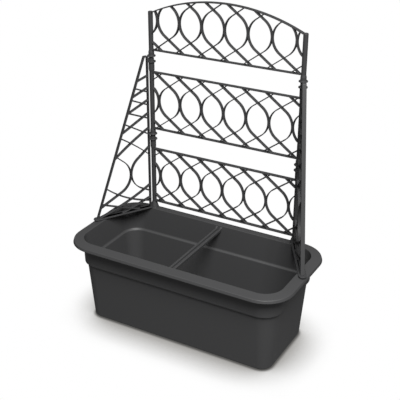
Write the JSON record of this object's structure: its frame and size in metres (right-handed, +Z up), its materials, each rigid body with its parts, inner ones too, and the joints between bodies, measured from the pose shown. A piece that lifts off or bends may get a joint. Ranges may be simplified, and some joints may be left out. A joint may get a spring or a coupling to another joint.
{
  "type": "planter with trellis",
  "caption": "Long stepped planter tub with a cross strut, an arched lattice trellis standing on its back rim and a lattice brace clipped to each side post.",
  "frame": {"origin": "on the ground, under the middle of the tub", "axes": "+X along the tub, +Y from the open front to the trellis, +Z up"},
  "size_m": [0.8, 0.4, 1.0609],
  "materials": {
    "tub_plastic": "matte",
    "trellis_plastic": "satin"
  },
  "bodies": {
    "planter": {"tub": "tub_plastic", "lattice_lower": "trellis_plastic", "lattice_middle": "trellis_plastic", "lattice_upper": "trellis_plastic", "left_post_lower": "trellis_plastic", "left_post_middle": "trellis_plastic", "left_post_upper": "trellis_plastic", "right_post_lower": "trellis_plastic", "right_post_middle": "trellis_plastic", "right_post_upper": "trellis_plastic"},
    "left_brace": {"left_brace": "trellis_plastic"},
    "right_brace": {"right_brace": "trellis_plastic"}
  },
  "joints": [
    {"name": "left_brace_swing", "type": "hinge", "parent": "planter", "child": "left_brace", "pos_m": [-0.273, 0.182, 0.56], "axis": [0, 0, 1], "range_deg": [-59.5, 30.5]},
    {"name": "right_brace_swing", "type": "hinge", "parent": "planter", "child": "right_brace", "pos_m": [0.273, 0.182, 0.56], "axis": [0, 0, 1], "range_deg": [-30.5, 59.5]}
  ]
}
